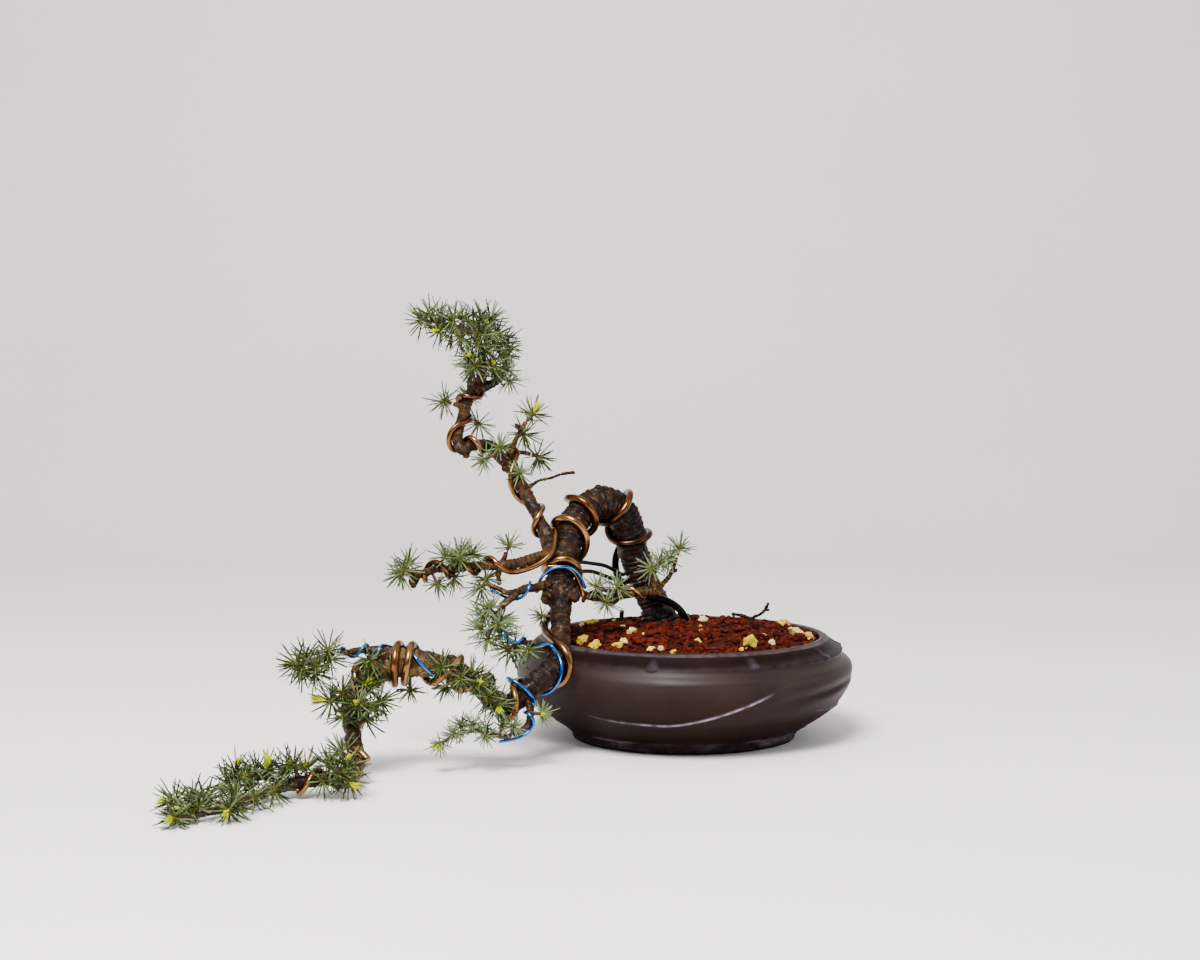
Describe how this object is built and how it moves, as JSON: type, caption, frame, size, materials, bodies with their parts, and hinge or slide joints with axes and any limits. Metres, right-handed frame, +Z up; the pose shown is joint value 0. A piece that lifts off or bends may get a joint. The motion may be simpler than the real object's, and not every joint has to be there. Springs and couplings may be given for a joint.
{
  "type": "cedar bonsai in pot",
  "caption": "Blue atlas cedar bonsai trained as a cascade, its bent trunk and branches wound with wire, standing in a round drum-shaped stoneware pot filled with red soil.",
  "frame": {"origin": "centre of the pot's foot, on the surface it stands on", "axes": "+Z up, -Y towards the viewer of the tree's front, +X to the right of that view"},
  "size_m": [0.4258, 0.4034, 0.2953],
  "materials": {
    "pot": "unglazed dark brown stoneware, satin",
    "drainage_mesh": "black moulded mesh",
    "soil": "red volcanic granules with pale yellow pumice",
    "bark": "dark brown bark, ringed and wrinkled",
    "deadwood": "dark dry twig",
    "copper_wire": "copper-coloured anodised aluminium",
    "blue_wire": "blue anodised aluminium",
    "black_wire": "black coated wire",
    "needles": "blue-green needles with pale lime new shoots"
  },
  "bodies": {
    "root": {"blue_wire_low": "blue_wire", "blue_wire_side": "blue_wire", "blue_wire_upper": "blue_wire", "copper_wire_crown": "copper_wire", "copper_wire_low": "copper_wire", "copper_wire_right": "copper_wire", "copper_wire_trunk": "copper_wire", "dead_twig": "deadwood", "drainage_mesh": "drainage_mesh", "needles_arch_hanging": "needles", "needles_ball": "needles", "needles_crown_behind": "needles", "needles_crown_fork": "needles", "needles_crown_fork_front": "needles", "needles_crown_front": "needles", "needles_crown_left": "needles", "needles_crown_loop": "needles", "needles_crown_loop_low": "needles", "needles_crown_loop_top": "needles", "needles_crown_middle": "needles", "needles_crown_out": "needles", "needles_crown_right": "needles", "needles_crown_right_low": "needles", "needles_crown_tip": "needles", "needles_knee_left": "needles", "needles_knee_right": "needles", "needles_left_tip": "needles", "needles_left_tip_under": "needles", "needles_left_top": "needles", "needles_left_under": "needles", "needles_left_upright": "needles", "needles_limb_front": "needles", "needles_low_right": "needles", "needles_low_twig": "needles", "needles_lower_hanging": "needles", "needles_lower_twig": "needles", "needles_middle_front": "needles", "needles_middle_hanging": "needles", "needles_middle_top": "needles", "needles_near_left": "needles", "needles_near_right": "needles", "needles_right_middle": "needles", "needles_right_outer": "needles", "needles_right_outer_low": "needles", "needles_right_upright": "needles", "needles_side_hanging": "needles", "needles_side_left": "needles", "needles_tail_front": "needles", "needles_tail_left": "needles", "needles_tail_middle": "needles", "needles_tail_right": "needles", "needles_tail_side": "needles", "needles_tail_tip": "needles", "needles_trunk_side": "needles", "needles_upper_back": "needles", "needles_upper_left": "needles", "pot": "pot", "soil": "soil", "tie_wire": "black_wire", "trunk_and_branches": "bark"}
  },
  "joints": []
}
